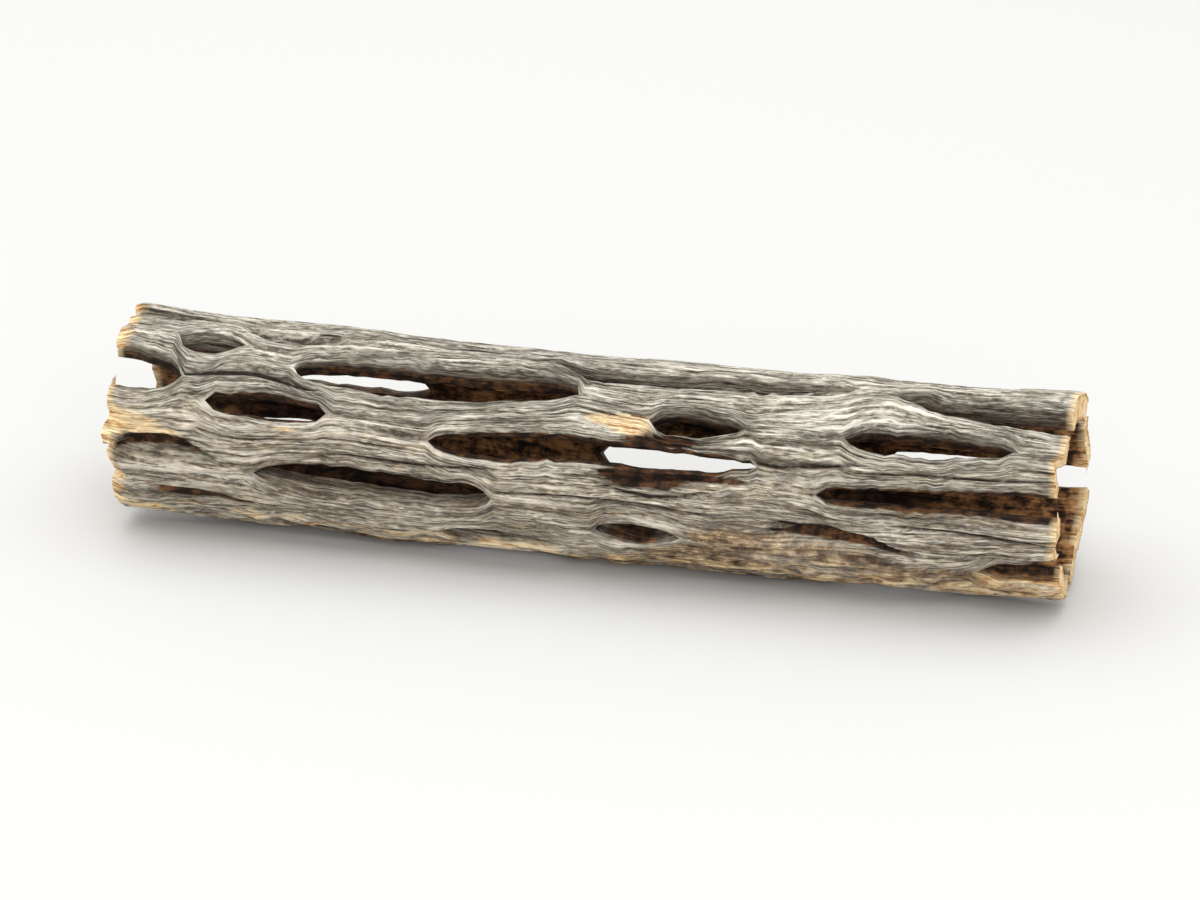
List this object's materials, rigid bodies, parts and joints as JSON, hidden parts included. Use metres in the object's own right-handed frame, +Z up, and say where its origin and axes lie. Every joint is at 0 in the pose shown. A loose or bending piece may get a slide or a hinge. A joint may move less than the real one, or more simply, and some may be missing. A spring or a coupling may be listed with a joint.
{
  "type": "cholla cactus skeleton",
  "caption": "Hollow sawn length of cholla cactus wood: a round sleeve of grey fibres that part and join again round lens-shaped openings.",
  "frame": {"origin": "centre of the bounding box's bottom face, on the surface that the log lies on", "axes": "+X along the log, from the ragged end at the picture's left to the sawn end at its right; the pictured side is -Y; +Z up"},
  "size_m": [0.152, 0.0332, 0.033],
  "materials": {
    "weathered_wood": "weathered grey, dry and matt, with dark grain; dark brown in the bore and cream on the sawn ends"
  },
  "bodies": {
    "root": {"cholla_skeleton": "weathered_wood"}
  },
  "joints": []
}
